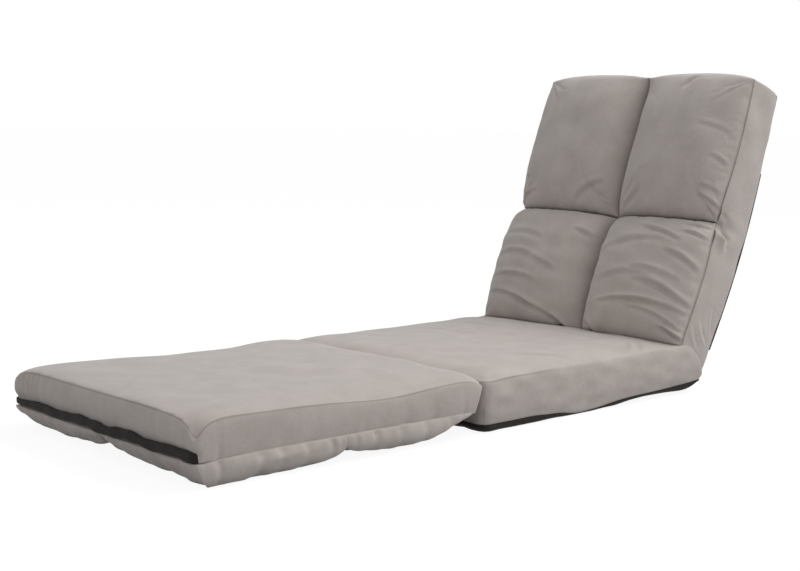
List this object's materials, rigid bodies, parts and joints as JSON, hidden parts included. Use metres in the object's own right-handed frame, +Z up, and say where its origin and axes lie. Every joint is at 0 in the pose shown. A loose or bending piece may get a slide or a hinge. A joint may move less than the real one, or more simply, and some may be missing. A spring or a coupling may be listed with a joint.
{
  "type": "folding floor chair",
  "caption": "Legless floor chair that unfolds into a lounger: a seat, a fold-over footrest with pillows beneath, and a tufted reclining backrest on ratchet hinges.",
  "frame": {"origin": "centre of the seat's flat underside, on the floor", "axes": "+Y from the foot end towards the backrest, +Z up, +X across"},
  "size_m": [0.56, 1.4516, 0.6385],
  "materials": {
    "microsuede": "matte",
    "black_cloth": "matte",
    "foam": "matte",
    "tube_steel": "satin",
    "zinc_steel": "satin",
    "spring_steel": "satin"
  },
  "bodies": {
    "seat": {"seat_frame": "tube_steel", "seat_cross_bars": "tube_steel", "seat_foam_lower": "foam", "seat_foam_upper": "foam", "seat_cover": "microsuede", "seat_base_cloth": "black_cloth", "hinge_cheeks_inner": "zinc_steel", "hinge_cheeks_outer": "zinc_steel", "pivot_rivets": "zinc_steel", "pawl_pins": "zinc_steel", "pawl_springs": "spring_steel", "hinge_stop_pins": "zinc_steel", "seat_tube_plugs": "zinc_steel", "cheek_rivets": "zinc_steel", "seat_tube_rivets": "zinc_steel", "fold_hinge_cloth": "microsuede", "back_hinge_cloth": "black_cloth"},
    "backrest": {"ratchet_gears": "zinc_steel", "back_tube_plugs": "zinc_steel", "back_tube_rivets": "zinc_steel", "back_frame": "tube_steel", "back_cross_bars": "tube_steel", "back_foam_rear": "foam", "back_foam_front": "foam", "back_side_band": "microsuede", "back_rear_panel": "black_cloth", "back_rear_yoke": "microsuede", "back_pillow_upper_left": "microsuede", "back_pillow_upper_right": "microsuede", "back_pillow_lower_left": "microsuede", "back_pillow_lower_right": "microsuede"},
    "footrest": {"footrest_foam": "foam", "footrest_cover": "microsuede", "footrest_end_band": "black_cloth", "footrest_pillow_fold_left": "microsuede", "footrest_pillow_fold_right": "microsuede", "footrest_pillow_foot_left": "microsuede", "footrest_pillow_foot_right": "microsuede"},
    "pawl_left": {"pawl_left": "zinc_steel"},
    "pawl_right": {"pawl_right": "zinc_steel"}
  },
  "joints": [
    {"name": "back_recline", "type": "hinge", "parent": "seat", "child": "backrest", "pos_m": [0, 0.2854, 0.026], "axis": [-1, 0, 0], "range_deg": [-17, 68], "deforming": ["back_pillow_lower_left", "back_pillow_lower_right", "back_hinge_cloth"]},
    {"name": "footrest_fold", "type": "hinge", "parent": "seat", "child": "footrest", "pos_m": [0, -0.314, 0.0993], "axis": [-1, 0, 0], "range_deg": [0, 180], "deforming": ["fold_hinge_cloth"]},
    {"name": "pawl_left_lift", "type": "hinge", "parent": "seat", "child": "pawl_left", "pos_m": [-0.24, 0.2554, 0.034], "axis": [1, 0, 0], "range_deg": [0, 8]},
    {"name": "pawl_right_lift", "type": "hinge", "parent": "seat", "child": "pawl_right", "pos_m": [0.24, 0.2554, 0.034], "axis": [1, 0, 0], "range_deg": [0, 8]}
  ],
  "couplings": [
    {"joint": "pawl_right_lift", "follows": "pawl_left_lift", "ratio": 1}
  ]
}
